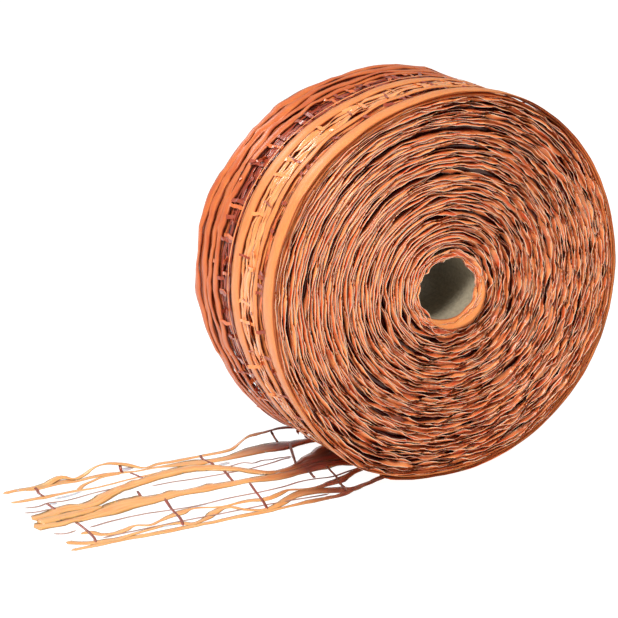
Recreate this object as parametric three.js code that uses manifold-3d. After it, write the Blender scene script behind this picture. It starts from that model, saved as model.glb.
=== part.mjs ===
// A roll of orange plastic warning mesh, of the kind laid over buried cables and pipes.
// The web is wound on a cardboard core and lies on its rim, and its free end is rolled out in front.
// Millimetres, +Z up. The roll's axis runs along Y, the free end runs out towards -X, and the origin
// is on the floor, under the middle of the whole object.
import * as THREE from 'three';
import { mergeVertices } from 'three/addons/utils/BufferGeometryUtils.js';
import Module from 'manifold-3d';

const wasm = await Module();
wasm.setup();

// The cardboard core.
const CORE_BORE = 76;
const CORE_WALL = 4;
const CORE_RECESS = 6; // how far each end of the core lies behind the end of the wound web
const CORE_CLEARANCE = 0.3; // between the core and the first turn

// The wound web.
const WEB_WIDTH = 200;
const ROLL_DIAMETER = 444;
const TURN_PITCH = 12; // from one ridge of turns to the next, on the ends of the roll
const TURN_VALLEY = 4; // depth of the valleys between the ridges
const ROUND_SEGMENTS = 48;

// The bands and open rows of the outermost turn, measured across the web.
const EDGE_BAND = 25; // smooth band along the near edge
const CENTRE_BAND = 24; // smooth band in the middle
const CENTRE_BAND_AT = -3; // middle of that band
const NARROW_RIBBON = 12; // between those two bands, with an open row on each side
const FAR_RIBBONS = 56; // wavy ribbons along the far edge
const NARROW_DROP = 1.5; // how far the ribbons lie below the smooth bands
const ROW_DROP = 4; // how far the open rows lie below them

// The free end.
const FREE_REACH = 470; // from the roll's axis to the cut edge
const PEEL_HEIGHT = 16; // where the web leaves the roll's underside
const TOUCH_DISTANCE = 90; // from there to where it lies flat on the floor
const ROOT_DEPTH = 24; // how far its ribbons run on into the wound web
const CELL_LENGTH = 105; // from one row of cross ties to the next
const TIE_INSET = 35; // from the cut edge to the first row
const TIE_WIDTH = 2.5;
const TIE_THICKNESS = 0.7;
const RIBBON_THICKNESS = 1.2; // slit film, creased along its length
const RIBBON_STEPS = 30;

// Each ribbon's middle, as a share of half the web's width: at the cut edge, at the first row of
// ties, and then at every half cell. The far edge of the web is first.
const RIBBONS = [
  { width: 4, across: [0.88, 0.9, 0.97, 0.96, 0.93, 0.95, 0.97, 0.97] },
  { width: 5, across: [0.79, 0.8, 0.8, 0.86, 0.83, 0.78, 0.8, 0.81] },
  { width: 5, across: [0.57, 0.55, 0.6, 0.68, 0.74, 0.66, 0.6, 0.58] },
  { width: 16, across: [0.02, 0.03, 0.2, 0.44, 0.56, 0.42, 0.12, 0.1] },
  { width: 16, across: [-0.2, -0.22, -0.14, -0.08, -0.06, -0.07, -0.1, -0.1] },
  { width: 2, across: [-0.5, -0.52, -0.48, -0.46, -0.48, -0.44, -0.41, -0.4] },
  { width: 6, across: [-0.64, -0.67, -0.76, -0.62, -0.6, -0.62, -0.57, -0.58] },
  { width: 5, across: [-0.78, -0.86, -0.87, -0.87, -0.76, -0.87, -0.74, -0.8] },
  { width: 4, across: [-0.96, -0.97, -0.95, -0.97, -0.95, -0.97, -0.93, -0.95] },
];

const ROLL_RADIUS = ROLL_DIAMETER / 2;
const CORE_OUTSIDE = CORE_BORE / 2 + CORE_WALL;
const WOUND_INSIDE = CORE_OUTSIDE + CORE_CLEARANCE;
const PEEL_X = -Math.sqrt(ROLL_RADIUS ** 2 - (ROLL_RADIUS - PEEL_HEIGHT) ** 2);
const ROOT_X = PEEL_X + ROOT_DEPTH;

const meshFilm = new THREE.MeshStandardMaterial({ color: 0xe8813c, roughness: 0.4, metalness: 0 });
const greyCard = new THREE.MeshStandardMaterial({ color: 0xb5aa93, roughness: 0.9, metalness: 0 });

// A closed profile of [radius, along the axis] points, turned round the Y axis. It is a prism of many
// sides whose flats lie at the stated radii, with one flat underneath.
function turned(profile) {
  const corner = 1 / Math.cos(Math.PI / ROUND_SEGMENTS);
  const points = [...profile, profile[0]].map(([r, y]) => new THREE.Vector2(r * corner, y));
  return new THREE.LatheGeometry(points, ROUND_SEGMENTS, Math.PI / ROUND_SEGMENTS);
}

// One end of the wound web, from the core outwards: crests of edges with valleys between them.
function ridgedEnd(side) {
  const depth = ROLL_RADIUS - WOUND_INSIDE;
  const ridges = Math.round(depth / TURN_PITCH);
  const crest = (side * WEB_WIDTH) / 2;
  const valley = crest - side * TURN_VALLEY;
  const points = [[WOUND_INSIDE, crest]];
  for (let i = 0; i < ridges; i++) {
    points.push([WOUND_INSIDE + ((i + 0.5) / ridges) * depth, valley]);
    points.push([WOUND_INSIDE + ((i + 1) / ridges) * depth, crest]);
  }
  return points;
}

// The outermost turn, from the near edge to the far one.
function outerTurn() {
  const nearBandTo = -WEB_WIDTH / 2 + EDGE_BAND;
  const centreFrom = CENTRE_BAND_AT - CENTRE_BAND / 2;
  const centreTo = CENTRE_BAND_AT + CENTRE_BAND / 2;
  const narrowAt = (nearBandTo + centreFrom) / 2;
  const farFrom = WEB_WIDTH / 2 - FAR_RIBBONS;
  const zones = [
    { to: nearBandTo, drop: 0 },
    { to: narrowAt - NARROW_RIBBON / 2, drop: ROW_DROP },
    { to: narrowAt + NARROW_RIBBON / 2, drop: NARROW_DROP },
    { to: centreFrom, drop: ROW_DROP },
    { to: centreTo, drop: 0 },
    { to: farFrom, drop: ROW_DROP },
    { to: WEB_WIDTH / 2, drop: NARROW_DROP },
  ];
  let from = -WEB_WIDTH / 2;
  const points = [];
  for (const { to, drop } of zones) {
    points.push([ROLL_RADIUS - drop, from], [ROLL_RADIUS - drop, to]);
    from = to;
  }
  return points;
}

function woundWeb() {
  const near = ridgedEnd(-1).slice(0, -1);
  const far = ridgedEnd(1).slice(0, -1).reverse();
  return turned([...near, ...outerTurn(), ...far]);
}

function coreTube() {
  const end = WEB_WIDTH / 2 - CORE_RECESS;
  const inside = CORE_BORE / 2;
  return turned([[inside, -end], [CORE_OUTSIDE, -end], [CORE_OUTSIDE, end], [inside, end]]);
}

// How high the underside of the free end lies: level where it is still part of the roll, flat on the
// floor past the touch distance, and a smooth fall between the two.
function drape(x) {
  const fallen = THREE.MathUtils.smoothstep(PEEL_X - x, 0, TOUCH_DISTANCE);
  return PEEL_HEIGHT * (1 - fallen);
}

// Where along the free end a ribbon's middle is given: the cut edge, the first row of ties, each half
// cell from there on, and the ribbon's root in the wound web.
function stations() {
  const places = [-FREE_REACH];
  const last = ROOT_X - CELL_LENGTH / 4;
  for (let x = -FREE_REACH + TIE_INSET; x < last; x += CELL_LENGTH / 2) places.push(x);
  places.push(ROOT_X);
  return places;
}

// A ribbon's middle, across the web, as a smooth function of x.
function wander(across) {
  const places = stations();
  const values = places.map((_, i) => (across[Math.min(i, across.length - 1)] * WEB_WIDTH) / 2);
  const curve = new THREE.CubicInterpolant(places, values, 1);
  return (x) => curve.evaluate(THREE.MathUtils.clamp(x, places[0], ROOT_X))[0];
}

// A ribbon from the cut edge to its root, draped as the free end is.
function ribbon({ width, across }) {
  const length = ROOT_X + FREE_REACH;
  const middle = wander(across);
  const geometry = new THREE.BoxGeometry(length, width, RIBBON_THICKNESS, RIBBON_STEPS, 1, 1);
  geometry.translate(ROOT_X - length / 2, 0, RIBBON_THICKNESS / 2);
  const place = geometry.getAttribute('position');
  for (let i = 0; i < place.count; i++) {
    const x = place.getX(i);
    place.setXYZ(i, x, middle(x) + place.getY(i), drape(x) + place.getZ(i));
  }
  return geometry;
}

// A cross tie, from the middle of the first ribbon to the middle of the last.
function tie(x) {
  const from = wander(RIBBONS.at(-1).across)(x);
  const to = wander(RIBBONS[0].across)(x);
  const geometry = new THREE.BoxGeometry(TIE_WIDTH, to - from, TIE_THICKNESS);
  return geometry.translate(x, (from + to) / 2, drape(x) + RIBBON_THICKNESS / 2);
}

function solid(geometry) {
  const bare = geometry.clone();
  bare.deleteAttribute('normal');
  bare.deleteAttribute('uv');
  const merged = mergeVertices(bare);
  const vertProperties = new Float32Array(merged.getAttribute('position').array);
  const triVerts = new Uint32Array(merged.index.array);
  return new wasm.Manifold(new wasm.Mesh({ numProp: 3, vertProperties, triVerts }));
}

function geometryOf(joined) {
  const { vertProperties, triVerts } = joined.getMesh();
  const geometry = new THREE.BufferGeometry();
  geometry.setAttribute('position', new THREE.BufferAttribute(vertProperties, 3));
  geometry.setIndex(new THREE.BufferAttribute(triVerts, 1));
  const faceted = geometry.toNonIndexed();
  faceted.computeVertexNormals();
  return faceted;
}

// The wound web with its free end: ribbons and cross ties, fused where they cross and to the roll.
function warningMesh() {
  const wound = woundWeb();
  wound.translate(0, 0, ROLL_RADIUS);
  let web = solid(wound);
  for (const each of RIBBONS) web = web.add(solid(ribbon(each)));
  for (let x = -FREE_REACH + TIE_INSET; x < PEEL_X - TIE_WIDTH; x += CELL_LENGTH) {
    web = web.add(solid(tie(x)));
  }
  return geometryOf(web);
}

function named(name, geometry, material) {
  const mesh = new THREE.Mesh(geometry, material);
  mesh.name = name;
  return mesh;
}

const core = named('core_tube', coreTube(), greyCard);
core.position.z = ROLL_RADIUS;

const roll = new THREE.Group();
roll.add(named('warning_mesh', warningMesh(), meshFilm), core);
roll.position.x = (FREE_REACH - ROLL_RADIUS) / 2;

const part = new THREE.Group();
part.add(roll);
export default part;
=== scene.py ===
# %% [markdown]
# # A roll of warning mesh
# Orange plastic film is slit, drawn out into a loose web and wound on a cardboard core. The roll lies
# on its rim, and its free end is rolled out in front of it. The CAD model gives the sizes; here every
# turn of the roll becomes curled, creased film.

# %% Load the CAD frame
import math

import bpy
from mathutils import Matrix, Vector


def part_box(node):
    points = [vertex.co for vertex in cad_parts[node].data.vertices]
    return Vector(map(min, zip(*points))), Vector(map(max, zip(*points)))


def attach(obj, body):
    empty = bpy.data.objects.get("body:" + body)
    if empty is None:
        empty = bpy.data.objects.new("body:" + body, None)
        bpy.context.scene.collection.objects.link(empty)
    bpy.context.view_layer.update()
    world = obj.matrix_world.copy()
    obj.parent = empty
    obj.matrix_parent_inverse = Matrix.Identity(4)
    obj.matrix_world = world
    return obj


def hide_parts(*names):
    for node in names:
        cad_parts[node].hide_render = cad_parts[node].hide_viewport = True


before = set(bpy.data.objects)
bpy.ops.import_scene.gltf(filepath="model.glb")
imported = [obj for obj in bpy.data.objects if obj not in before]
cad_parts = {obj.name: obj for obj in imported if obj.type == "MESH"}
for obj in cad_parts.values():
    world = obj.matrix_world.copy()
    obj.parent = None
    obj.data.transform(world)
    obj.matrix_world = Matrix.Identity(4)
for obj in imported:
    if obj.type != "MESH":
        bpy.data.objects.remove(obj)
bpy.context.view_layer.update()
print("CAD nodes:", sorted(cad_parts))

# %% [markdown]
# ## Where the roll is
# Every place below is worked out from the boxes of the two CAD nodes: the axis runs along Y, through
# the middle of the core, and the roll's radius is the axis's height above the floor.

# %% Read the roll's sizes
MM = 0.001
web_low, web_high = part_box("warning_mesh")
core_low, core_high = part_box("core_tube")
AXIS_X = (core_low[0] + core_high[0]) / 2
AXIS_Z = (core_low[2] + core_high[2]) / 2
ROLL_RADIUS = AXIS_Z - web_low[2]
HALF_WIDTH = (web_high[1] - web_low[1]) / 2
CORE_RADIUS = (core_high[2] - core_low[2]) / 2
FREE_REACH = AXIS_X - web_low[0]
print(f"radius {ROLL_RADIUS:.3f} m, web {2 * HALF_WIDTH:.3f} m wide")
print(f"free end {FREE_REACH:.3f} m from the axis")

# %% [markdown]
# ## Camera
# The camera stands in front, to the left and above, with a long lens. Its place comes from fitting the
# two round rims, the bore and the cut edge of the free end to their places in the photograph. The
# picture leans by about one degree, so the camera does too.

# %% Place the camera
def add_object(name, data):
    """A new object with this data, in the scene."""
    thing = bpy.data.objects.new(name, data)
    bpy.context.scene.collection.objects.link(thing)
    return thing


CAMERA_PLACE = Vector((-0.879, -1.883, 0.787))
LOOK_TOWARDS = math.radians(24.9)
LOOK_DOWN = math.radians(16.0)
LEAN = math.radians(-1.29)
SENSOR = 36.0
PICTURE_WIDTH = 618  # pixels
FOCAL_LENGTH = 1893  # pixels of that picture
LENS = SENSOR * FOCAL_LENGTH / PICTURE_WIDTH

level = math.cos(LOOK_DOWN)
forward = Vector((math.sin(LOOK_TOWARDS) * level, math.cos(LOOK_TOWARDS) * level, -math.sin(LOOK_DOWN)))
level_right = Vector((math.cos(LOOK_TOWARDS), -math.sin(LOOK_TOWARDS), 0))
level_up = level_right.cross(forward)
right = math.cos(LEAN) * level_right + math.sin(LEAN) * level_up
up = math.cos(LEAN) * level_up - math.sin(LEAN) * level_right
camera = add_object("camera", bpy.data.cameras.new("camera"))
camera.data.sensor_width = SENSOR
camera.data.lens = LENS
camera_turn = Matrix((right, up, -forward)).transposed().to_4x4()
camera.matrix_world = Matrix.Translation(CAMERA_PLACE) @ camera_turn
bpy.context.scene.camera = camera
print(f"camera {CAMERA_PLACE.length:.2f} m away, lens {LENS:.0f} mm")

# %% [markdown]
# ## Sums in a node tree
# A Geometry Nodes tree that bends film into a spiral is mostly arithmetic. Laying out dozens of Math
# nodes by hand hides the idea, so this small class lets ordinary Python sums make the nodes.


# %% A number that flows through a node tree
def feed(tree, value, socket):
    """Puts a number or a field into a socket."""
    if isinstance(value, Field):
        tree.links.new(value.socket, socket)
    else:
        socket.default_value = value


class Field:
    """A number that flows through a node tree. Each sum made with it adds a Math node."""

    def __init__(self, tree, socket):
        self.tree = tree
        self.socket = socket

    def maths(self, operation, *others):
        node = self.tree.nodes.new("ShaderNodeMath")
        node.operation = operation
        for socket, value in zip(node.inputs, (self, *others)):
            feed(self.tree, value, socket)
        return Field(self.tree, node.outputs[0])

    def __add__(self, other):
        return self.maths("ADD", other)

    def __sub__(self, other):
        return self.maths("SUBTRACT", other)

    def __mul__(self, other):
        return self.maths("MULTIPLY", other)

    def __truediv__(self, other):
        return self.maths("DIVIDE", other)


def make_node(tree, kind, links, **values):
    """A node with these sockets linked and these values set."""
    node = tree.nodes.new(kind)
    for label, value in values.items():
        node.inputs[label.replace("_", " ")].default_value = value
    for label, socket in links.items():
        tree.links.new(socket, node.inputs[label])
    return node


def vector(tree, x, y, z):
    """Three numbers or fields, joined into one vector socket."""
    node = tree.nodes.new("ShaderNodeCombineXYZ")
    for socket, value in zip(node.inputs, (x, y, z)):
        feed(tree, value, socket)
    return node.outputs[0]


def split_xyz(tree, place):
    """The three coordinates of a place, as fields."""
    split = make_node(tree, "ShaderNodeSeparateXYZ", {"Vector": place})
    return [Field(tree, socket) for socket in split.outputs]


def noise(tree, x, y=0.5, z=0.5, detail=1.0):
    """Smooth noise, mostly from -0.6 to 0.6. It changes sign about once for each unit of x, y or z."""
    links = {"Vector": vector(tree, x, y, z)}
    node = make_node(tree, "ShaderNodeTexNoise", links, Scale=1.0, Detail=detail)
    return (Field(tree, node.outputs[0]) - 0.5) * 2.0


# %% [markdown]
# ## Trees with named sizes
# Each tree lists its inputs by name, with a default for each. One helper makes the tree, and another
# runs it on an empty mesh, takes the result as a plain mesh and drops the modifier.

# %% Make a tree and run it
SOCKET_OF = {int: "NodeSocketInt", float: "NodeSocketFloat"}
WELD_WITHIN = 0.004 * MM


def new_tree(name, defaults):
    """A Geometry Nodes tree with these inputs, and the fields of its group input by name."""
    tree = bpy.data.node_groups.new(name, "GeometryNodeTree")
    tree.interface.new_socket("Geometry", in_out="OUTPUT", socket_type="NodeSocketGeometry")
    tree.interface.new_socket("Path", in_out="INPUT", socket_type="NodeSocketGeometry")
    for label, value in defaults.items():
        socket = tree.interface.new_socket(label, in_out="INPUT", socket_type=SOCKET_OF[type(value)])
        socket.default_value = value
    tree.interface.new_socket("Material", in_out="INPUT", socket_type="NodeSocketMaterial")
    entry = tree.nodes.new("NodeGroupInput")
    return tree, {label: Field(tree, entry.outputs[label]) for label in ("Path", *defaults, "Material")}


def close_tree(tree, geometry, material, smooth=True):
    """Ends the tree: welds the seam, shades it, realizes the instances and sets the material."""
    weld = make_node(tree, "GeometryNodeMergeByDistance", {}, Distance=WELD_WITHIN)
    shade = make_node(tree, "GeometryNodeSetShadeSmooth", {}, Shade_Smooth=smooth)
    realize = tree.nodes.new("GeometryNodeRealizeInstances")
    paint = make_node(tree, "GeometryNodeSetMaterial", {"Material": material.socket})
    leave = tree.nodes.new("NodeGroupOutput")
    for node in (weld, shade, realize, paint, leave):
        tree.links.new(geometry, node.inputs[0])
        geometry = node.outputs[0] if node.outputs else None


def run_tree(tree, name, material, sizes, path=None):
    """A plain mesh object from the tree, with these sizes for its named inputs."""
    maker = add_object("maker", path or bpy.data.meshes.new("empty"))
    modifier = maker.modifiers.new(name, "NODES")
    modifier.node_group = tree
    keys = {item.name: item.identifier for item in tree.interface.items_tree if item.in_out == "INPUT"}
    for label, value in {**sizes, "Material": material}.items():
        modifier[keys[label]] = value
    evaluated = maker.evaluated_get(bpy.context.evaluated_depsgraph_get())
    mesh = bpy.data.meshes.new_from_object(evaluated)
    bpy.data.objects.remove(maker)
    mesh.name = name
    piece = add_object(name, mesh)
    mesh.calc_loop_triangles()
    print(f"{name}: {len(mesh.loop_triangles)} triangles")
    return piece


def joined(name, parts):
    """One object with the meshes of several."""
    with bpy.context.temp_override(active_object=parts[0], selected_editable_objects=parts):
        bpy.ops.object.join()
    parts[0].name = name
    parts[0].data.name = name
    return parts[0]


# %% [markdown]
# ## Film materials
# The film is clear orange plastic, so a single layer is light and warm, and light that has passed
# through several layers comes out deep red. Each strip carries two attributes of its own. `place` runs
# along and across the film, for streaks in the direction in which it was drawn. `border` is 1 along the
# strip's edges, where each film takes its edge colour: a pale painted highlight on the curled strands of
# the roll's ends, painted shade where the rim's ribbons part, and a darker edge on the free end's strips.
# Further painted shade turns the film deep red deep in the roll's ends, and darkens the free end near
# the roll, as the roll's shadow.


# %% Helpers for material nodes
RELIEF = 0.3 * MM


def tint_mix(tree, factor, first, second):
    """A colour between two, each a socket or a plain colour."""
    node = tree.nodes.new("ShaderNodeMix")
    node.data_type = "RGBA"
    tree.links.new(factor, node.inputs["Factor"])
    for label, colour in (("A", first), ("B", second)):
        if isinstance(colour, tuple):
            node.inputs[label].default_value = (*colour, 1)
        else:
            tree.links.new(colour, node.inputs[label])
    return node.outputs["Result"]


def stretch_range(tree, value, low, high):
    """0 at the low value, 1 at the high one."""
    links = {"Value": value}
    return make_node(tree, "ShaderNodeMapRange", links, From_Min=low, From_Max=high).outputs[0]


def streaks(tree, along, across, detail):
    """Noise drawn out along the film: its scale along the film and across it."""
    place = tree.nodes.new("ShaderNodeAttribute")
    place.attribute_name = "place"
    scale = (along, across, 1)
    drawn = make_node(tree, "ShaderNodeMapping", {"Vector": place.outputs["Vector"]}, Scale=scale)
    links = {"Vector": drawn.outputs[0]}
    return make_node(tree, "ShaderNodeTexNoise", links, Scale=1.0, Detail=detail).outputs[0]


def object_place(tree):
    """Where the surface lies, as a socket."""
    return tree.nodes.new("ShaderNodeTexCoord").outputs["Object"]


def shaded(name, values):
    """A material whose shader has these values, with its tree and its shader."""
    material = bpy.data.materials.new(name)
    material.use_nodes = True
    shader = material.node_tree.nodes["Principled BSDF"]
    for label, value in values.items():
        shader.inputs[label].default_value = value
    return material, material.node_tree, shader


def roughen(tree, shader, height, strength):
    """Fine relief on the shader, from a height between 0 and 1."""
    bump = make_node(tree, "ShaderNodeBump", {"Height": height}, Strength=strength, Distance=RELIEF)
    tree.links.new(bump.outputs["Normal"], shader.inputs["Normal"])


# %% The orange film
PAINTED_SHADE_RED = (0.10, 0.003, 0.001)  # painted shade deep in the roll's ends, red as light through many layers
PAINTED_SHADE_MAROON = (0.05, 0.013, 0.010)  # painted shadow of the roll on the free end, and its paler streaks
PAINTED_SHADE_PALE_MAROON = (0.19, 0.06, 0.04)
# the roll's painted shadow on the free end: gone at the first place, full at the second
ROLL_SHADE_FROM = AXIS_X - 220 * MM
ROLL_SHADE_TO = AXIS_X - 140 * MM
FINE_STREAKS = (150, 900)
FILM_SHADER = {
    "Subsurface Weight": 0.2,
    "Subsurface Radius": (1.0, 0.3, 0.1),
    "Subsurface Scale": 3 * MM,
    "Specular Tint": (1.0, 0.6, 0.42, 1),
    "Coat Roughness": 0.22,
}


def film_material(
    name, light, deep, edge, roughness=0.3, coat=0.6,
    border_from=0.72, streak=(45, 160), shaded_from=None, painted_roll_shade=False,
):
    """Glossy drawn film.

    Where `shaded_from` is given, the film turns to deep red between those two depths behind the roll's
    ends: painted shade, deeper in the roll. The last flag darkens the film towards the roll: a painted
    shadow of the roll over the free end.
    """
    values = {**FILM_SHADER, "Roughness": roughness, "Coat Weight": coat}
    material, tree, shader = shaded(name, values)
    cloudy = stretch_range(tree, streaks(tree, *streak, 3.0), 0.3, 0.7)
    colour = tint_mix(tree, cloudy, deep, light)
    # the border colour: painted highlight on the edge film, painted shade on the rim's films
    border = tree.nodes.new("ShaderNodeAttribute")
    border.attribute_name = "border"
    painted_edge_mask = stretch_range(tree, border.outputs["Fac"], border_from, 1.0)
    colour = tint_mix(tree, painted_edge_mask, colour, edge)
    # painted shade: deeper in the roll's ends the film turns deep red
    if shaded_from:
        reach = split_xyz(tree, object_place(tree))[1].maths("ABSOLUTE")
        lit, dark = (HALF_WIDTH - depth for depth in shaded_from)
        near_end = stretch_range(tree, reach.socket, dark, lit)
        colour = tint_mix(tree, near_end, PAINTED_SHADE_RED, colour)
    # painted shadow of the roll: the free end darkens towards the roll
    if painted_roll_shade:
        reach = split_xyz(tree, object_place(tree))[0]
        out_of_roll_shade = stretch_range(tree, reach.socket, ROLL_SHADE_TO, ROLL_SHADE_FROM)
        roll_shade_colour = tint_mix(tree, cloudy, PAINTED_SHADE_MAROON, PAINTED_SHADE_PALE_MAROON)
        colour = tint_mix(tree, out_of_roll_shade, roll_shade_colour, colour)
    tree.links.new(colour, shader.inputs["Base Color"])
    roughen(tree, shader, streaks(tree, *FINE_STREAKS, 3.0), 0.35)
    return material


# Each film's colour in one layer, in several layers, and at its border: the edge film's pale border is a
# painted highlight, and the rim's dark borders are painted shade.
# The edge film's pale border is a painted highlight, and it turns deep red deeper in the roll's ends:
# painted shade.
edge_film = film_material(
    "edge_film", (1.0, 0.36, 0.12), (0.62, 0.07, 0.018), (1.0, 0.72, 0.52),
    coat=0.35, border_from=0.66, shaded_from=(1.8 * MM, 9 * MM),
)
band_film = film_material(
    "smooth_film", (0.76, 0.265, 0.08), (0.70, 0.21, 0.06), (0.5, 0.07, 0.02),
    roughness=0.45, coat=0.15,
)
# painted shade: the far edge's ribbons are darker than the bands, with near-black borders
far_shade_film = film_material(
    "far_shade_film", (0.65, 0.165, 0.043), (0.52, 0.10, 0.03), (0.17, 0.012, 0.004),
    roughness=0.4, coat=0.15, border_from=0.62,
)
glossy_film = film_material(
    "glossy_film", (0.94, 0.38, 0.14), (0.80, 0.22, 0.06), (0.40, 0.06, 0.018),
    roughness=0.14, border_from=0.6,
)
# The free end's films take the roll's painted shadow near the roll.
free_film = film_material(
    "free_film", (0.94, 0.52, 0.22), (0.80, 0.32, 0.09), (0.36, 0.17, 0.05),
    border_from=0.6, streak=(30, 420), painted_roll_shade=True,
)
wire_film = film_material(
    "wire_film", (0.5, 0.33, 0.27), (0.28, 0.15, 0.11), (0.25, 0.13, 0.09), painted_roll_shade=True
)
clear_film = film_material("clear_film", (0.62, 0.66, 0.74), (0.45, 0.48, 0.56), (0.5, 0.4, 0.36))
free_tie_film = film_material(
    "free_tie_film", (0.36, 0.06, 0.03), (0.17, 0.03, 0.015), (0.12, 0.015, 0.008),
    painted_roll_shade=True,
)
# painted shade: the far row lies deep, so its film is dark red
deep_row_shade_film = film_material("deep_row_shade_film", (0.42, 0.07, 0.03), (0.18, 0.02, 0.01), (0.06, 0.008, 0.005))
row_film = film_material("row_film", (0.80, 0.22, 0.06), (0.55, 0.08, 0.02), (0.25, 0.03, 0.01))
# painted shade: the ties deep in the open rows are dark maroon
tie_film = film_material("tie_film", (0.42, 0.07, 0.03), (0.2, 0.03, 0.015), (0.12, 0.015, 0.008))
# painted shade: the base strips under the open rows are dark
base_shade_film = film_material("base_shade_film", (0.30, 0.03, 0.012), (0.14, 0.012, 0.005), (0.1, 0.01, 0.005))
# painted shade: the inner turns, deep in the roll
inner_shade_film = film_material("inner_shade_film", (0.2, 0.02, 0.008), (0.08, 0.008, 0.003), (0.1, 0.01, 0.005))

# %% [markdown]
# ## The wound film
# Each long strand of the web is a strip of film that follows the spiral and curls across its width, so
# its section is a thin letter C. A grid is bent into that shape: one of its directions runs along the
# web, and the other goes round the section and back, so that the strip has two sides and is closed.

# %% Sizes of the winding
TURN_PITCH = 4.2 * MM
PEEL_ANGLE = math.radians(202)  # clockwise from the top, seen from the near end
FIRST_RADIUS = CORE_RADIUS + 1.0 * MM
GROUP_DEPTH = 24 * MM  # about six turns cling together, and a long gap may open before the next six
GAP_SHARE = 0.12  # how much of that depth the gap's own turns take
WIDEST_GAP_AT = 180 * MM  # counted from this radius, every second gap opens widest
CALM_DEPTH = 14 * MM  # the outermost turns lie close to each other
LOOSE_DEPTH = 40 * MM  # and all of them down to this depth are loose on the roll
SAG = (256, 1.5)  # towards this clockwise angle in degrees, and how narrow
CORNER = (31, 4.0)
DENT = (-15, 10.0)
ROOT = (209, 18.0)
MORE_CRINKLED = (0.8, -0.5)  # right and up: the film is most crinkled at the lower right
HANGING = (-0.64, -0.77)  # right and up: the first turns hang towards the lower left
WOUND_LENGTH = math.pi * (ROLL_RADIUS**2 - FIRST_RADIUS**2) / TURN_PITCH
FILM_THICKNESS = 0.5 * MM
FLOOR_GAP = 0.3 * MM
print(f"{(ROLL_RADIUS - FIRST_RADIUS) / TURN_PITCH:.0f} turns, {WOUND_LENGTH:.1f} m of web")


def spiral(s):
    """The radius and the clockwise angle at a length s along the web, from the core outwards."""
    radius = (s * (TURN_PITCH / math.pi) + FIRST_RADIUS**2).maths("SQRT")
    angle = (radius - ROLL_RADIUS) * (2 * math.pi / TURN_PITCH) + PEEL_ANGLE
    return radius, angle


def swell(tree, radius, angle):
    """From -0.5 to 0.5: where turns cling together in groups, with long gaps between the groups."""
    x = angle.maths("COSINE")
    y = angle.maths("SINE")
    group = radius / GROUP_DEPTH + 0.5 + noise(tree, x * 1.1, y * 1.1, radius / (4 * GROUP_DEPTH)) * 0.5
    share = group.maths("FRACT")
    rise = (share * -1.0 + 1.0) / GAP_SHARE
    place = (share / (1 - GAP_SHARE)).maths("MINIMUM", rise)
    widest = ((radius - WIDEST_GAP_AT) * (math.pi / GROUP_DEPTH)).maths("COSINE")
    patches = noise(tree, x * 1.7, y * 1.7, radius / (1.6 * GROUP_DEPTH) + 7.7) * 2.2
    open_here = patches + 0.5 - y * 0.25 + x * 0.15 + widest * 0.3
    calm_rim = ((radius * -1.0 + ROLL_RADIUS) / CALM_DEPTH).maths("MINIMUM", 1.0)
    return (place * -1.0 + 0.5) * open_here.maths("MINIMUM", 1.0).maths("MAXIMUM", 0.0) * calm_rim


def lobe(angle, degrees, power):
    """1 at this clockwise angle, falling to 0 a quarter turn away on each side."""
    towards = math.radians(degrees)
    facing = angle.maths("COSINE") * math.cos(towards) + angle.maths("SINE") * math.sin(towards)
    return facing.maths("MAXIMUM", 0.0).maths("POWER", power)


def slack(radius, angle, along, given):
    """How far the loose outer turns bulge: above the free end most of all, and at the upper right.

    The far edge also sags all along the side of the free end.
    """
    share = ((radius - ROLL_RADIUS) / LOOSE_DEPTH + 1.0).maths("MAXIMUM", 0.0)
    sag = lobe(angle, *SAG) * (along + HALF_WIDTH) / (2 * HALF_WIDTH)
    corner = lobe(angle, *CORNER) * 0.95 - lobe(angle, *DENT) * 0.45
    return (sag + corner + lobe(angle, *ROOT) * 1.2) * share * given["Slack"]


def side_of(v):
    """1 on the strip's outer side, -1 on its inner side, and 0 at its two edges."""
    return (v * (2 * math.pi)).maths("SINE")


def above_floor(z, v, given):
    """The height, but never under the floor, and with the strip's two sides still apart there."""
    return z.maths("MAXIMUM", (side_of(v) + 1.0) * given["Thickness"] * 0.5 + FLOOR_GAP)


def curled_section(v, width, curl, thickness):
    """A point of the thin letter C: how far along the strip's width, and how far out of it."""
    across = (v * 2.0 - 1.0).maths("ABSOLUTE") * -1.0 + 1.0
    turn = (across - 0.5) * curl
    bend = width / curl
    reach = bend + side_of(v) * thickness * 0.5
    along = reach * turn.maths("SINE")
    out = reach * turn.maths("COSINE") - bend * ((curl * 0.5).maths("COSINE") + 1.0) * 0.5
    return along, out


def ends_closed(u):
    """1 along the strip, falling to almost nothing at its two ends, so that they close."""
    from_end = (u - 0.5).maths("ABSOLUTE") * -400.0 + 200.0
    return from_end.maths("MINIMUM", 1.0).maths("MAXIMUM", 0.001)


def grid_of(tree, given):
    """A grid of Steps by Section points, and its two directions as fields from 0 to 1."""
    counts = {"Vertices X": given["Steps"].socket, "Vertices Y": given["Section"].socket}
    grid = make_node(tree, "GeometryNodeMeshGrid", counts, Size_X=1.0, Size_Y=1.0)
    x, y, _ = split_xyz(tree, tree.nodes.new("GeometryNodeInputPosition").outputs[0])
    return grid.outputs["Mesh"], x + 0.5, y + 0.5


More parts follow.
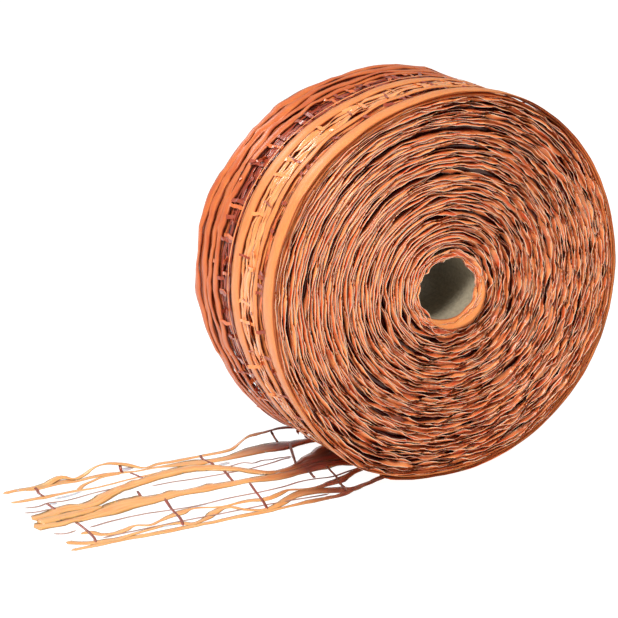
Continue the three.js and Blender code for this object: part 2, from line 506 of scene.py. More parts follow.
def labelled(tree, mesh, given, s, v):
    """The mesh with its two film attributes: place along and across, and how near to an edge."""
    across = (v * 2.0 - 1.0).maths("ABSOLUTE") * -1.0 + 1.0
    place = vector(tree, s, across * given["Width"], given["Seed"])
    border = (across * 2.0 - 1.0).maths("ABSOLUTE")
    for name, kind, value in (("place", "FLOAT_VECTOR", place), ("border", "FLOAT", border.socket)):
        store = tree.nodes.new("GeometryNodeStoreNamedAttribute")
        store.data_type = kind
        store.domain = "POINT"
        store.inputs["Name"].default_value = name
        tree.links.new(mesh, store.inputs["Geometry"])
        tree.links.new(value, store.inputs["Value"])
        mesh = store.outputs[0]
    return mesh


def placed(tree, mesh, position):
    """The mesh with its points moved to the position field."""
    links = {"Geometry": mesh, "Position": position}
    return make_node(tree, "GeometryNodeSetPosition", links).outputs[0]


# %% The tree that winds one strand
FILM_SHAPE = {
    "Steps": 200,
    "Section": 9,
    "Width": 6 * MM,
    "Width Change": 0.3,
    "Curl": 2.6,
    "Curl Change": 0.8,
    "Twist": 1.6,
    "Thickness": FILM_THICKNESS,
    "Taper": 0.0,
    "Sway Out": 5 * MM,
    "Sway Along": 7 * MM,
    "Sway Length": 20 * MM,
    "Seed": 1.0,
}
WOUND = {
    "Start": 0.0,
    "Length": 1.0,
    "Along Axis": 0.0,
    "Radial Shift": 0.0,
    "Facing": 0.0,
    "Swell": 5.5 * MM,
    "Crinkle": 0.0,
    "Slack": 0.0,
    "Off Centre": 0.0,
    **FILM_SHAPE,
}


def varied_film(tree, given, u, v, s):
    """The section's two sums, and the sways, with noise along the strip."""
    seed = given["Seed"] * 7.31
    step = s / given["Sway Length"]
    curl = (noise(tree, step * 0.6, seed, 17.9) * given["Curl Change"] + 1.0) * given["Curl"]
    width = (noise(tree, step * 0.5, seed, 23.3) * given["Width Change"] + 1.0) * given["Width"]
    ends = ends_closed(u)
    taper = (u * (u * -4.0 + 4.0)).maths("MAXIMUM", 0.01).maths("POWER", given["Taper"])
    along, out = curled_section(v, width * ends * taper, curl, given["Thickness"] * ends)
    twist = noise(tree, step * 0.7, seed, 11.1) * given["Twist"]
    sway_out = noise(tree, step, seed, 0.3, detail=3.0) * given["Sway Out"]
    sway_along = noise(tree, step * 0.8, seed, 5.7, detail=2.0) * given["Sway Along"]
    return along, out, twist, sway_out, sway_along


def wound_tree():
    tree, given = new_tree("wound film", WOUND)
    mesh, u, v = grid_of(tree, given)
    s = u * given["Length"] + given["Start"]
    radius, angle = spiral(s)
    along, out, twist, sway_out, sway_along = varied_film(tree, given, u, v, s)
    crinkled = angle.maths("SINE") * MORE_CRINKLED[0] + angle.maths("COSINE") * MORE_CRINKLED[1]
    crinkle = crinkled * given["Crinkle"] + 1.0
    sway_out = sway_out * crinkle
    facing = given["Facing"] + twist * crinkle
    radial = out * facing.maths("COSINE") - along * facing.maths("SINE")
    axial = out * facing.maths("SINE") + along * facing.maths("COSINE")
    bulge = swell(tree, radius, angle) * given["Swell"]
    loose = slack(radius, angle, given["Along Axis"], given)
    r = radius + given["Radial Shift"] + sway_out + bulge + radial + loose
    x = r * angle.maths("SINE") + AXIS_X + given["Off Centre"] * HANGING[0]
    y = given["Along Axis"] + sway_along + axial
    z = r * angle.maths("COSINE") + AXIS_Z + given["Off Centre"] * HANGING[1]
    z = above_floor(z, v, given)
    mesh = labelled(tree, mesh, given, s, v)
    close_tree(tree, placed(tree, mesh, vector(tree, x, y, z)), given["Material"])
    return tree


wind = wound_tree()

# %% [markdown]
# ## The ends of the roll
# On both ends the edges of all the turns show, as curled strands that cross and part again. Further
# strands lie behind the first, half a turn apart from it, and deeper still the roll is dark.

# %% Strands along both edges of the web
NEAR = -math.pi / 2
BARE_TURNS = 1.7  # the outermost turns, whose smooth bands cover the strands
RIM_SLACK = 8 * MM


def edge_strand(name, side, depth, step, seed, **sizes):
    """One strand along an edge of the web, wound from the core to the outside."""
    length = WOUND_LENGTH - BARE_TURNS * 2 * math.pi * ROLL_RADIUS
    asked = {
        "Length": length,
        "Steps": round(length / step),
        "Along Axis": side * (HALF_WIDTH - depth),
        "Width": 7 * MM,
        "Width Change": 0.4,
        "Curl": 1.0,
        "Curl Change": 1.2,
        "Twist": 2.3,
        "Sway Out": 3.9 * MM,
        "Sway Along": 3 * MM,
        "Sway Length": 21 * MM,
        "Thickness": 0.45 * MM,
        "Crinkle": 0.45,
        "Slack": RIM_SLACK,
        "Seed": seed,
        **sizes,
    }
    return run_tree(wind, name, edge_film, asked)


HALF_TURN = {"Radial Shift": TURN_PITCH / 2}
pieces = [
    edge_strand("near_edge_strand", -1, 4 * MM, 5 * MM, 1.0),
    edge_strand("near_second_strand", -1, 6 * MM, 6 * MM, 2.0, **HALF_TURN),
    edge_strand("near_third_strand", -1, 12 * MM, 9 * MM, 3.0, Facing=NEAR, Twist=1.6, Curl=2.0),
    edge_strand("far_edge_strand", 1, 4 * MM, 6 * MM, 4.0),
    edge_strand("far_second_strand", 1, 6 * MM, 9 * MM, 5.0, **HALF_TURN),
]


# %% The first turns, loose in front of the core
def length_at(radius):
    """How far along the web the winding reaches this radius. It is below zero inside the first turn."""
    return (radius**2 - FIRST_RADIUS**2) * math.pi / TURN_PITCH


def loose_turns(name, side, first, last, seed, **sizes):
    """The innermost strand, which has slipped off the core and hangs in front of its end."""
    start = length_at(first * MM)
    length = length_at(last * MM) - start
    asked = {
        "Start": start,
        "Length": length,
        "Steps": round(length / (4 * MM)),
        "Along Axis": side * (HALF_WIDTH - 2.2 * MM),
        "Width": 5.5 * MM,
        "Curl": 1.2,
        "Twist": 1.8,
        "Sway Out": 7 * MM,
        "Sway Along": 1.0 * MM,
        "Sway Length": 15 * MM,
        "Swell": 0.0,
        "Off Centre": 3 * MM,
        "Seed": seed,
        **sizes,
    }
    return run_tree(wind, name, edge_film, asked)


pieces += [
    loose_turns("near_loose_turns", -1, 35.5, 43, 8.0),
    loose_turns("near_loose_fold", -1, 37, 44, 8.6, **HALF_TURN),
    loose_turns("near_loose_cover", -1, 38.5, 46, 8.9, Facing=0.9, Width=8 * MM),
    loose_turns("far_loose_turns", 1, 34, 43, 9.0),
]


# %% The smooth flap of film at the bore's lower right
def radius_at(angle, near_radius):
    """The winding's radius at this clockwise angle, on the turn nearest to a radius."""
    turn = round((near_radius - ROLL_RADIUS) / TURN_PITCH)
    return ROLL_RADIUS + (angle + 2 * math.pi * turn - PEEL_ANGLE) * TURN_PITCH / (2 * math.pi)


flap_start = length_at(radius_at(math.radians(75), 41 * MM))
flap_length = length_at(radius_at(math.radians(225), 41 * MM)) - flap_start
flap_sizes = {
    "Start": flap_start,
    "Length": flap_length,
    "Steps": 40,
    "Along Axis": -HALF_WIDTH,
    "Facing": 1.1,
    "Width": 16 * MM,
    "Taper": 0.8,
    "Curl": 0.8,
    "Twist": 0.2,
    "Sway Out": 1 * MM,
    "Sway Along": 0.5 * MM,
    "Swell": 0.0,
    "Seed": 10.0,
}
pieces.append(run_tree(wind, "bore_flap", band_film, flap_sizes))


# %% [markdown]
# ## The inner turns
# Behind the strands the wound film is too dense to see into. A turned body, ridged like the edges of
# its turns, stands for it, so that no light comes through the roll. Its film is nearly black red: painted
# shade.


# %% Turn the inner body
def turned(name, profile, material, segments=96):
    """A closed profile of (radius, along the axis) points, turned round the roll's axis."""
    count = len(profile)
    points = []
    for i in range(segments):
        angle = 2 * math.pi * i / segments
        for radius, y in profile:
            points.append((AXIS_X + radius * math.sin(angle), y, AXIS_Z + radius * math.cos(angle)))
    faces = []
    for i in range(segments):
        ahead = (i + 1) % segments
        for j in range(count):
            k = (j + 1) % count
            faces.append((i * count + j, i * count + k, ahead * count + k, ahead * count + j))
    mesh = bpy.data.meshes.new(name)
    mesh.from_pydata(points, [], faces)
    mesh.materials.append(material)
    mesh.shade_smooth()
    print(f"{name}: {2 * len(faces)} triangles")
    return add_object(name, mesh)


BODY_DEPTH = 15 * MM
BODY_RADIUS = ROLL_RADIUS - 12 * MM
BODY_RIDGE = 2 * MM
CORE_CLEARANCE = 0.3 * MM


def body_profile():
    """From the core outwards at the near end, over the rim, and back at the far end."""
    inside = CORE_RADIUS + CORE_CLEARANCE
    ridges = round((BODY_RADIUS - inside) / (2 * TURN_PITCH))
    near_end = []
    for i in range(2 * ridges + 1):
        radius = inside + (BODY_RADIUS - inside) * i / (2 * ridges)
        near_end.append((radius, -HALF_WIDTH + BODY_DEPTH + (BODY_RIDGE if i % 2 else 0)))
    far_end = [(radius, -y) for radius, y in reversed(near_end)]
    return near_end + far_end


pieces.append(turned("inner_turns", body_profile(), inner_shade_film))

# %% [markdown]
# ## The rim
# Round the rim the web lies flat: smooth bands along the near edge and in the middle, wavy ribbons
# along the far edge, and open rows between them where deeper turns show through. Each ribbon is wound
# for the outermost turns only. Base strips lie under them, so that no light comes between two turns.
# The deeper base strips, the far row and its dark ties are dark red: painted shade.

# %% Ribbons of the outermost turns
OUTER_TURNS = 3.3


def rim_ribbon(name, at, width, material, seed, step=7 * MM, turns=OUTER_TURNS, **sizes):
    """One ribbon of the outermost turns, with its middle at this place along the axis."""
    length = turns * 2 * math.pi * (ROLL_RADIUS - turns * TURN_PITCH / 2)
    asked = {
        "Start": WOUND_LENGTH - length,
        "Length": length,
        "Steps": round(length / step),
        "Along Axis": at * MM,
        "Width": width * MM,
        "Curl": 0.5,
        "Curl Change": 0.6,
        "Twist": 0.3,
        "Width Change": 0.6,
        "Sway Out": 2.5 * MM,
        "Sway Along": 11 * MM,
        "Sway Length": 34 * MM,
        "Radial Shift": -1.5 * MM,
        "Slack": RIM_SLACK,
        "Seed": seed,
        **sizes,
    }
    return run_tree(wind, name, material, asked)


SMOOTH = {
    "Width Change": 0.08,
    "Sway Along": 2 * MM,
    "Sway Out": 1.2 * MM,
    "Twist": 0.1,
    "Radial Shift": -0.6 * MM,
}
THREAD = {"Sway Along": 1.5 * MM, "Sway Out": 1 * MM, "Radial Shift": 0.3 * MM}
ROW = {
    "Radial Shift": -2.5 * MM,
    "Twist": 1.3,
    "Curl": 0.9,
    "Sway Along": 10 * MM,
    "Sway Length": 20 * MM,
}
DEEP_ROW = {**ROW, "Radial Shift": -4.5 * MM}
FAR_EDGE = {
    "Curl": 0.9,
    "Twist": 0.5,
    "Sway Along": 13 * MM,
    "Sway Length": 38 * MM,
    "Sway Out": 4 * MM,
}
UNDER = {"Curl": 0.1, "Curl Change": 0.0, "Twist": 0.0, "Sway Along": 1 * MM, "Sway Out": 1 * MM}
BASES = {  # middle, width, film, seed, and how far outwards it lies
    "near_base": (-87, 24, band_film, 30.7, -1.9),
    "far_base": (71, 50, base_shade_film, 30.0, -4),
    "far_edge_base": (86, 26, far_shade_film, 30.5, 0),
    "middle_row_base": (-31, 34, base_shade_film, 30.3, -6.5),
    "far_row_base": (31, 32, base_shade_film, 30.4, -7.5),
}


def base_strip(name):
    at, width, material, seed, outwards = BASES[name]
    shift = {"Radial Shift": outwards * MM}
    return rim_ribbon(name, at, width, material, seed, turns=1.3, **UNDER, **shift)


def middle_row_ribbon(i):
    return rim_ribbon(f"middle_row_ribbon_{i}", -42 + 8 * i, 11, glossy_film, 14.1 + i, **ROW)


def far_row_ribbon(i):
    return rim_ribbon(f"far_row_ribbon_{i}", 21 + 6.5 * i, 5.5, deep_row_shade_film, 25.2 + i, **DEEP_ROW)


def far_ribbon(i):
    """A wavy ribbon. The nearer it is to the web's edge, the looser it lies."""
    sizes = {**FAR_EDGE, "Radial Shift": (1.25 * i - 1.2) * MM}
    return rim_ribbon(f"far_ribbon_{i}", 51 + 13.5 * i, 17, far_shade_film, 31.6 + i, turns=1.9, **sizes)


pieces += [
    rim_ribbon("near_band", -86, 27, band_film, 11.0, Section=13, **SMOOTH),
    rim_ribbon("near_row_ribbon_a", -68, 6, row_film, 12.0, **DEEP_ROW),
    rim_ribbon("near_row_ribbon_b", -63, 6, row_film, 12.5, **DEEP_ROW),
    rim_ribbon("narrow_ribbon", -53, 11, band_film, 13.0, **{"Sway Along": 6 * MM}),
    *(middle_row_ribbon(i) for i in range(4)),
    rim_ribbon("centre_band", -3, 24, band_film, 19.3, Section=13, **SMOOTH),
    rim_ribbon("pale_thread", 13, 3, glossy_film, 24.0, **THREAD),
    *(far_row_ribbon(i) for i in range(4)),
    *(base_strip(name) for name in BASES),
    *(far_ribbon(i) for i in range(4)),
]

# %% [markdown]
# ## Cross ties of the rim
# In the open rows the film was not slit right through: short ties cross from ribbon to ribbon every
# 105 mm of web. Several turns lie over each other, so that the ties of all of them show, one every few
# centimetres. Points are spaced along the spiral, and each gets a tie across the row.

# %% The tree that sets ties along the winding
TIE_JITTER = 50 * MM  # along the web
TIE_LOOSENESS = 2 * MM
TIE_LOWEST = 4.5 * MM  # a tie's middle above the floor
CRUMPLE = 3 * MM  # how far a tie's points wander, over the length below
CRUMPLE_LENGTH = 9 * MM
TIES = {
    "Start": 0.0,
    "Spacing": 45 * MM,
    "Count": 100,
    "Row From": 0.0,
    "Row To": 10 * MM,
    "Tie Width": 4 * MM,
    "Tie Thickness": 0.5 * MM,
    "Radial Shift": 0.0,
    "Slack": 0.0,
    "Seed": 1.0,
}


def ties_tree():
    tree, given = new_tree("ties", TIES)
    line = make_node(tree, "GeometryNodeMeshLine", {"Count": given["Count"].socket})
    index = Field(tree, tree.nodes.new("GeometryNodeInputIndex").outputs[0])
    s = index * given["Spacing"] + given["Start"]
    jitter = noise(tree, index * 3.7, given["Seed"] * 3.3, 0.7) * TIE_JITTER
    radius, angle = spiral(s + jitter)
    loose = noise(tree, index * 5.1, given["Seed"] * 1.9, 0.2) * TIE_LOOSENESS
    loose = loose + slack(radius, angle, given["Row From"], given)
    r = radius + given["Radial Shift"] + loose
    middle = (given["Row From"] + given["Row To"]) * 0.5
    height = (r * angle.maths("COSINE") + AXIS_Z).maths("MAXIMUM", TIE_LOWEST)
    at = vector(tree, r * angle.maths("SINE") + AXIS_X, middle, height)
    points = placed(tree, line.outputs[0], at)
    size = vector(tree, given["Tie Width"], given["Row To"] - given["Row From"], given["Tie Thickness"])
    counts = {"Vertices_X": 2, "Vertices_Y": 9, "Vertices_Z": 2}
    block = make_node(tree, "GeometryNodeMeshCube", {"Size": size}, **counts)
    lean = noise(tree, index * 2.3, given["Seed"] * 5.3, 0.4)
    links = {"Points": points, "Instance": block.outputs["Mesh"]}
    copies = make_node(tree, "GeometryNodeInstanceOnPoints", links)
    tree.links.new(vector(tree, 0.0, angle, lean * 1.8), copies.inputs["Rotation"])
    real = make_node(tree, "GeometryNodeRealizeInstances", {"Geometry": copies.outputs[0]})
    flat = split_xyz(tree, tree.nodes.new("GeometryNodeInputPosition").outputs[0])
    x, y, z = (place / CRUMPLE_LENGTH for place in flat)
    wander = [noise(tree, x, y, z + shift) * CRUMPLE for shift in (0.0, 31.0, 57.0)]
    crumpled = vector(tree, *(place + step for place, step in zip(flat, wander)))
    close_tree(tree, placed(tree, real.outputs[0], crumpled), given["Material"], smooth=False)
    return tree


tie_rows = ties_tree()
TIES_STOP_BEFORE = 300 * MM  # the place where the web leaves the roll


def rim_ties(name, row_from, row_to, material, seed, spacing=45, turns=3.0, **sizes):
    """Ties across one open row, in the outermost turns."""
    length = turns * 2 * math.pi * (ROLL_RADIUS - turns * TURN_PITCH / 2)
    asked = {
        "Start": WOUND_LENGTH - length - TIES_STOP_BEFORE,
        "Count": round(length / (spacing * MM)),
        "Spacing": spacing * MM,
        "Row From": row_from * MM,
        "Row To": row_to * MM,
        "Radial Shift": -1.5 * MM,
        "Slack": RIM_SLACK,
        "Seed": seed,
        **sizes,
    }
    return run_tree(tie_rows, name, material, asked)


pieces += [
    rim_ties("near_row_ties", -73, -59, tie_film, 1.0, spacing=30),
    rim_ties("middle_row_ties", -48, -15, glossy_film, 2.0),
    rim_ties("middle_row_dark_ties", -46, -16, tie_film, 3.0, spacing=60, **{"Tie Width": 2.5 * MM}),
    rim_ties("far_row_ties", 17, 45, tie_film, 4.0, spacing=24),
    rim_ties("far_row_light_ties", 18, 44, row_film, 5.0, spacing=38),
    rim_ties("far_ribbon_ties", 46, 66, row_film, 6.0, spacing=105, turns=1.5),
    rim_ties("far_edge_ties", 66, 88, row_film, 7.0, spacing=105, turns=1.5),
]

# %% [markdown]
# ## Core
# The cardboard core keeps its CAD shape, and gets the colour and the fibres of grey card.


# %% Card for the core
DARK_CARD = (0.17, 0.145, 0.10)
PALE_CARD = (0.44, 0.37, 0.25)


def card_material():
    material, tree, shader = shaded("core_card", {"Roughness": 0.85})
    links = {"Vector": object_place(tree)}
    fibres = make_node(tree, "ShaderNodeTexNoise", links, Scale=250.0, Detail=6.0).outputs[0]
    tree.links.new(tint_mix(tree, fibres, DARK_CARD, PALE_CARD), shader.inputs["Base Color"])
    roughen(tree, shader, fibres, 0.3)
    return material


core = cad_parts["core_tube"]
core.material_slots[0].material = card_material()

# %% [markdown]
# ## The free end
# The free end's ribbons lie where they were rolled out, so each follows a path of its own: a list of
# places from the cut edge to the roll, in millimetres from the roll's axis. A place may also say how far
# the ribbon is lifted there, and then how broad it is.

# %% The tree that lays one strip along a path
LAID = {**FILM_SHAPE, "Start": 0.0, "Length": 0.5}


def vector_maths(tree, operation, a, b=None):
    node = tree.nodes.new("ShaderNodeVectorMath")
    node.operation = operation
    tree.links.new(a, node.inputs[0])
    if isinstance(b, Field):
        tree.links.new(b.socket, node.inputs["Scale"])
    elif b is not None:
        tree.links.new(b, node.inputs[1])
    return node.outputs[0]


def laid_tree():
    tree, given = new_tree("laid film", LAID)
    mesh, u, v = grid_of(tree, given)
    s = u * given["Length"] + given["Start"]
    along, out, twist, sway_out, sway_along = varied_film(tree, given, u, v, s)
    sample = tree.nodes.new("GeometryNodeSampleCurve")
    sample.mode = "FACTOR"
    tree.links.new(given["Path"].socket, sample.inputs["Curves"])
    tree.links.new(tree.nodes.new("GeometryNodeInputRadius").outputs[0], sample.inputs["Value"])
    feed(tree, u, sample.inputs["Factor"])
    breadth = Field(tree, sample.outputs["Value"])
    ahead = sample.outputs["Tangent"]
    side = vector_maths(tree, "CROSS_PRODUCT", vector(tree, 0.0, 0.0, 1.0), ahead)
    side = vector_maths(tree, "NORMALIZE", side)
    lift = vector_maths(tree, "CROSS_PRODUCT", ahead, side)
    sideways = (along * twist.maths("COSINE") - out * twist.maths("SINE")) * breadth + sway_along
    upwards = along * twist.maths("SINE") + out * twist.maths("COSINE") + sway_out.maths("ABSOLUTE")
    place = sample.outputs["Position"]
    for direction, distance in ((side, sideways), (lift, upwards)):
        step = vector_maths(tree, "SCALE", direction, distance)
        place = vector_maths(tree, "ADD", place, step)
    x, y, z = split_xyz(tree, place)
    place = vector(tree, x, y, above_floor(z, v, given))
    mesh = labelled(tree, mesh, given, u * given["Length"], v)
    close_tree(tree, placed(tree, mesh, place), given["Material"])
    return tree


lay = laid_tree()

# %% Paths of the free end's ribbons
def path(points):
    """A smooth curve through (along, across, lift, breadth) places, in millimetres from the axis."""
    curve = bpy.data.curves.new("path", "CURVE")
    curve.dimensions = "3D"
    curve.resolution_u = 12
    spline = curve.splines.new("BEZIER")
    spline.bezier_points.add(len(points) - 1)
    for knot, (x, y, lift, breadth) in zip(spline.bezier_points, points):
        knot.co = (AXIS_X + x * MM, y * MM, lift * MM)
        knot.radius = breadth
        knot.handle_left_type = "AUTO"
        knot.handle_right_type = "AUTO"
    return curve


def full_point(x, y, lift=0, breadth=1.0):
    return x, y, lift, breadth


def laid_ribbon(name, points, width, seed, material=None, **sizes):
    """One ribbon of the free end, along a list of places."""
    full = [full_point(*point) for point in points]
    length = (full[-1][0] - full[0][0]) * MM
    asked = {
        "Length": length,
        "Steps": max(8, round(length / (4 * MM))),
        "Width": width * MM,
        "Width Change": 0.5,
        "Curl": 0.8,
        "Twist": 0.5,
        "Thickness": 0.35 * MM,
        "Sway Out": 2 * MM,
        "Sway Along": 2 * MM,
        "Sway Length": 22 * MM,
        "Seed": seed,
        **sizes,
    }
    return run_tree(lay, name, material or free_film, asked, path(full))


FREE_RIBBONS = {
    "far_edge": (9, [
        (-476, 88), (-462, 91), (-440, 90), (-427, 92, 0, 1.4), (-404, 98, 4), (-391, 94, 1),
        (-377, 98, 2), (-360, 100, 9), (-335, 100, 8), (-318, 98, 3), (-303, 90, 0, 0.6), (-285, 95),
        (-265, 93), (-233, 95), (-200, 96), (-188, 99, 1), (-180, 100, 6), (-168, 100, 12),
        (-153, 100, 14), (-137, 100, 15), (-123, 99, 16), (-100, 97, 14), (-70, 92, 9), (-40, 90, 4),
    ]),
    "far_web": (5, [
        (-440, 90, 0, 0.6), (-425, 91, 0, 1.8), (-411, 93, 0, 2.6), (-399, 93, 0, 1.8),
        (-386, 92, 0, 0.5),
    ]),
    "far_inner": (9, [
        (-452, 88, 0, 0.6), (-436, 85), (-411, 89), (-389, 87), (-364, 91), (-333, 88),
        (-318, 84, 0, 0.6), (-285, 84, 0, 0.7), (-262, 80, 0, 2.0), (-245, 77, 0, 2.8),
        (-228, 74, 0, 1.6), (-202, 74, 0, 1.5), (-182, 78, 0, 2.4), (-165, 82, 0, 3.0),
        (-148, 83, 0, 3.3), (-133, 80, 1, 3.3), (-120, 76, 2, 2.6), (-100, 71, 5, 2), (-75, 68, 7, 2.4),
        (-40, 68, 4, 2.4),
    ]),
    "link": (6, [
        (-397, 57), (-387, 69), (-373, 78), (-359, 84), (-334, 85),
    ]),
    "inner": (8, [
        (-477, 58, 0, 0.7), (-459, 56), (-440, 56, 0, 1.4), (-422, 57), (-397, 57), (-375, 56, 0, 0.6),
        (-355, 59, 0, 0.6), (-335, 63, 0, 0.6), (-300, 66, 0, 0.6), (-262, 70, 0, 1.2),
        (-235, 62, 0, 0.7),
    ]),
    "middle_a": (22, [
        (-470, -1), (-448, 3), (-431, 11), (-412, 9), (-396, 12), (-382, 20, 1), (-358, 36, 1),
        (-338, 44, 1), (-317, 50, 1), (-290, 58, 1), (-262, 61, 1), (-242, 56, 1), (-222, 42, 1),
        (-206, 28, 1, 0.8), (-190, 11, 1, 0.7), (-175, 3, 0, 0.6), (-158, 4, 0, 0.6), (-145, 8, 0, 0.8),
        (-135, 10, 1, 1.1), (-122, 12, 2, 1.3), (-104, 12, 4, 1.6), (-80, 10, 6, 1.8), (-40, 10, 3, 2),
    ]),
    "middle_fold": (21, [
        (-468, -13, 1), (-448, -12, 1), (-430, -9, 1), (-412, -8, 1), (-399, -6, 1, 0.7),
        (-387, -2, 1, 0.25),
    ]),
    "middle_b": (20, [
        (-475, -24, 0, 1.2), (-450, -25, 0, 1.1), (-430, -25), (-412, -23, 0, 1.1),
        (-392, -18, 0, 1.45), (-367, -10, 0, 1.7), (-343, -9, 0, 1.55), (-318, -7, 0, 1.3),
        (-300, -6, 0, 1.15), (-267, -6), (-242, -6), (-200, -8), (-175, -12, 0, 0.9), (-155, -8),
        (-138, -5, 0, 1.1), (-122, -5, 2, 1.1), (-104, -9, 3, 1.4), (-85, -16, 4, 1.4), (-40, -14, 3),
    ]),
    "near_inner": (9, [
        (-436, -66, 0, 0.7), (-427, -65, 0, 1.1), (-416, -77), (-402, -81), (-390, -78),
        (-376, -70, 0, 0.5), (-360, -77, 0, 0.6), (-348, -72, 0, 0.5), (-330, -64, 0, 1.1),
        (-318, -60, 0, 1.8), (-304, -55, 0, 0.9), (-272, -65, 0, 0.6), (-240, -64), (-218, -68, 0, 1.2),
        (-199, -61), (-186, -55, 0, 0.7), (-171, -60, 0, 0.7), (-156, -64, 0, 1.2), (-142, -61),
        (-131, -58, 0, 1.4), (-121, -57, 1, 1.5), (-111, -54, 3), (-98, -51, 6), (-67, -46, 9),
        (-40, -44, 3),
    ]),
    "near_outer": (10, [
        (-457, -79, 0, 1.2), (-445, -88), (-434, -94), (-420, -97, 0, 1.2), (-404, -97),
        (-390, -94, 0, 0.7), (-372, -90, 0, 0.7), (-350, -86, 0, 0.8), (-331, -87), (-318, -96),
        (-300, -89), (-285, -77, 0, 1.2), (-265, -70, 0, 0.7), (-252, -86, 0, 0.7), (-235, -96),
        (-214, -91, 0, 1.4), (-194, -78, 0, 1.8), (-176, -71, 0, 2.0), (-162, -72, 0, 2.0),
        (-145, -78, 0, 2.0), (-130, -84, 0, 2.0), (-122, -88, 1, 1.1), (-105, -88, 4, 0.8),
        (-70, -86, 8), (-40, -85, 3),
    ]),
    "near_edge": (8, [
        (-459, -103, 0, 0.7), (-430, -103), (-402, -101, 0, 1.2), (-367, -102, 0, 1.3),
        (-335, -102, 0, 1.4), (-302, -103, 0, 1.2), (-267, -101, 0, 1.2), (-230, -101), (-204, -100),
        (-176, -98, 0, 1.6), (-142, -98, 0, 1.4), (-126, -95, 2, 1.2), (-100, -89, 6, 0.8),
        (-80, -87, 9, 0.8), (-40, -84, 3),
    ]),
    "middle_root": (24, [
        (-150, 9, 0, 0.3), (-138, 16, 0, 0.6), (-124, 23, 1), (-110, 27, 3, 1.25), (-95, 30, 5, 1.45),
        (-70, 30, 7, 1.5), (-40, 28, 4, 1.5),
    ]),
}
FREE_WIRES = [
    [(-467, 35), (-452, 32), (-440, 37), (-420, 34), (-380, 42), (-352, 44)],
    [(-472, 21), (-457, 17), (-442, 18), (-426, 16)],
    [
        (-318, 30), (-293, 31), (-267, 28), (-235, 27), (-199, 27), (-181, 30), (-163, 34), (-148, 38),
        (-138, 37, 1),
    ],
    [(-232, 40), (-207, 48), (-195, 50), (-186, 43), (-173, 46), (-162, 43), (-154, 44), (-136, 40, 1)],
    [(-461, -51), (-449, -57), (-436, -54)],
    [
        (-421, -53), (-390, -47), (-360, -45), (-333, -47), (-300, -50), (-252, -46), (-227, -46),
        (-191, -44), (-160, -38), (-144, -38), (-123, -42, 1), (-100, -42, 4), (-70, -42, 8),
    ],
    [(-418, -87), (-360, -84), (-300, -84), (-208, -85), (-150, -88)],
]
FREE_SHREDS = [
    (9, [(-332, 99, 0.5, 0.7), (-326, 96, 0.5), (-315, 98, 0.5, 0.7)]),
    (6, [(-430, 45), (-410, 47), (-393, 53, 0, 0.5)]),
    (8, [(-438, 34), (-431, 30)]),
    (5, [(-354, -89, 0, 0.6), (-342, -88), (-331, -87)]),
    (4, [(-306, -52), (-290, -50), (-272, -47, 0, 0.6)]),
    (8, [(-224, 58, 0, 0.7), (-217, 57), (-209, 58, 0, 0.7)]),
    (5, [(-460, 91), (-448, 91)]),
]
WIRE_WIDTH = 3.6
WIRE = {
    "Width Change": 0.2,
    "Twist": 0.3,
    "Sway Along": 1.2 * MM,
    "Sway Out": 0.6 * MM,
    "Thickness": 0.7 * MM,
}
free_pieces = [
    laid_ribbon(f"free_{name}", points, width, 40.0 + i)
    for i, (name, (width, points)) in enumerate(FREE_RIBBONS.items())
]
pieces.append(joined("free_ribbons", free_pieces))
free_wires = [
    laid_ribbon(f"wire_{i}", points, WIRE_WIDTH, 60.0 + i, wire_film, **WIRE)
    for i, points in enumerate(FREE_WIRES)
]
pieces.append(joined("free_wires", free_wires))
free_shreds = [
    laid_ribbon(f"shred_{i}", points, width, 90.0 + i, clear_film)
    for i, (width, points) in enumerate(FREE_SHREDS)
]
pieces.append(joined("free_shreds", free_shreds))

# %% Cross ties of the free end
FREE_TIES = [
    [(-438, 90), (-438, 82), (-439, 68), (-437, 57)],
    [(-441, 36), (-440, 30), (-438, 14)],
    [(-430, -30), (-427, -50), (-426, -64), (-426, -80), (-429, -97)],
    [(-331, 100, 7), (-332, 94), (-333, 86)],
    [(-325, 82), (-318, 60)],
    [(-338, 24), (-342, -10)],
    [(-318, -12), (-322, -36), (-324, -58), (-325, -78), (-330, -98)],
    [(-231, 98), (-233, 84), (-228, 60)],
    [(-226, 36), (-228, 18), (-230, 0)],
    [(-215, -12), (-219, -36), (-222, -56), (-225, -74), (-230, -98)],
    [(-137, 100, 14), (-134, 96, 6), (-132, 90, 1)],
    [(-122, 78, 2), (-128, 62, 2), (-134, 45, 2), (-139, 30, 2), (-144, 14, 1)],
    [(-140, -12, 1), (-142, -26, 1), (-144, -38, 1)],
    [(-117, -12, 3), (-119, -30, 2), (-121, -48, 1), (-124, -60, 1)],
    [(-126, -66, 1), (-127, -78, 1), (-129, -92, 1)],
]
TIE_LIFT = 0.6  # the ties lie on the ribbons
TIE_SHAPE = {
    "Length": 0.06,
    "Steps": 16,
    "Section": 9,
    "Width": 4.2 * MM,
    "Curl": 1.6,
    "Twist": 0.8,
    "Thickness": 0.8 * MM,
    "Sway Out": 0.5 * MM,
    "Sway Along": 0.8 * MM,
    "Sway Length": 16 * MM,
}


def laid_tie(i, points):
    """One cross tie, along a list of places."""
    full = [full_point(*point) for point in points]
    lifted = [(x, y, lift + TIE_LIFT, breadth) for x, y, lift, breadth in full]
    sizes = {**TIE_SHAPE, "Start": i * 0.37, "Seed": 70.0 + i}
    return run_tree(lay, f"tie_{i}", free_tie_film, sizes, path(lifted))


ties = [laid_tie(i, points) for i, points in enumerate(FREE_TIES)]
pieces.append(joined("free_ties", ties))

# %% [markdown]
# ## Studio
# A plain white floor and a bright, even surround, with one large soft light from the upper left, where
# the photograph's highlights are, and a weaker one from behind.

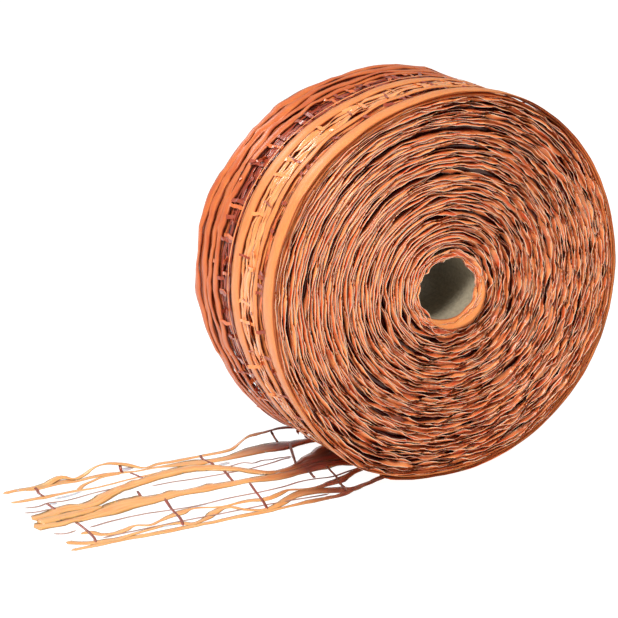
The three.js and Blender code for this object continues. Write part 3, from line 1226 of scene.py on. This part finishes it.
# %% Floor, surround and lights
FLOOR_SIZE = 8.0
FLOOR_DROP = 0.5 * MM  # just under the roll
floor_corners = [(x * FLOOR_SIZE, y * FLOOR_SIZE, 0) for x, y in ((-1, -1), (1, -1), (1, 1), (-1, 1))]
floor_mesh = bpy.data.meshes.new("floor")
floor_mesh.from_pydata(floor_corners, [], [(0, 1, 2, 3)])
floor = add_object("floor", floor_mesh)
floor.location.z = -FLOOR_DROP
FLOOR_SHADER = {
    "Base Color": (0.3, 0.3, 0.3, 1),
    "Roughness": 0.9,
    "Emission Color": (1, 1, 1, 1),
    "Emission Strength": 0.95,
}
floor_mesh.materials.append(shaded("pale_floor", FLOOR_SHADER)[0])

world = bpy.data.worlds.new("studio")
world.use_nodes = True
surround = world.node_tree
backdrop = surround.nodes["Background"]
fill = surround.nodes.new("ShaderNodeBackground")
for each, strength in ((backdrop, 1.0), (fill, 0.4)):
    each.inputs["Color"].default_value = (1, 1, 1, 1)
    each.inputs["Strength"].default_value = strength
seen = surround.nodes.new("ShaderNodeLightPath")
blend = surround.nodes.new("ShaderNodeMixShader")
mixed = (seen.outputs["Is Camera Ray"], fill.outputs[0], backdrop.outputs[0])
for socket, value in zip(blend.inputs, mixed):
    surround.links.new(value, socket)
surround.links.new(blend.outputs[0], surround.nodes["World Output"].inputs["Surface"])
bpy.context.scene.world = world


def softbox(name, place, aim, size, power):
    """A square area light at a place, turned towards what it lights."""
    light = bpy.data.lights.new(name, "AREA")
    light.size = size
    light.energy = power
    lamp = add_object(name, light)
    lamp.location = place
    lamp.rotation_euler = (Vector(aim) - Vector(place)).to_track_quat("-Z", "Y").to_euler()


softbox("key_softbox", place=(-1.3, -1.2, 2.0), aim=(0.1, 0, 0.2), size=0.7, power=72)
softbox("back_softbox", place=(-0.6, 2.2, 1.6), aim=(0, 0, 0.35), size=0.6, power=9)
bpy.context.scene.view_settings.view_transform = "Standard"

# %% [markdown]
# ## Attach the pieces
# Every piece belongs to the one rigid body, and together they stand in for the plain CAD web, which is
# hidden.

# %% Ride and replace
for piece in pieces:
    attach(piece, "root")
    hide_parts("warning_mesh")
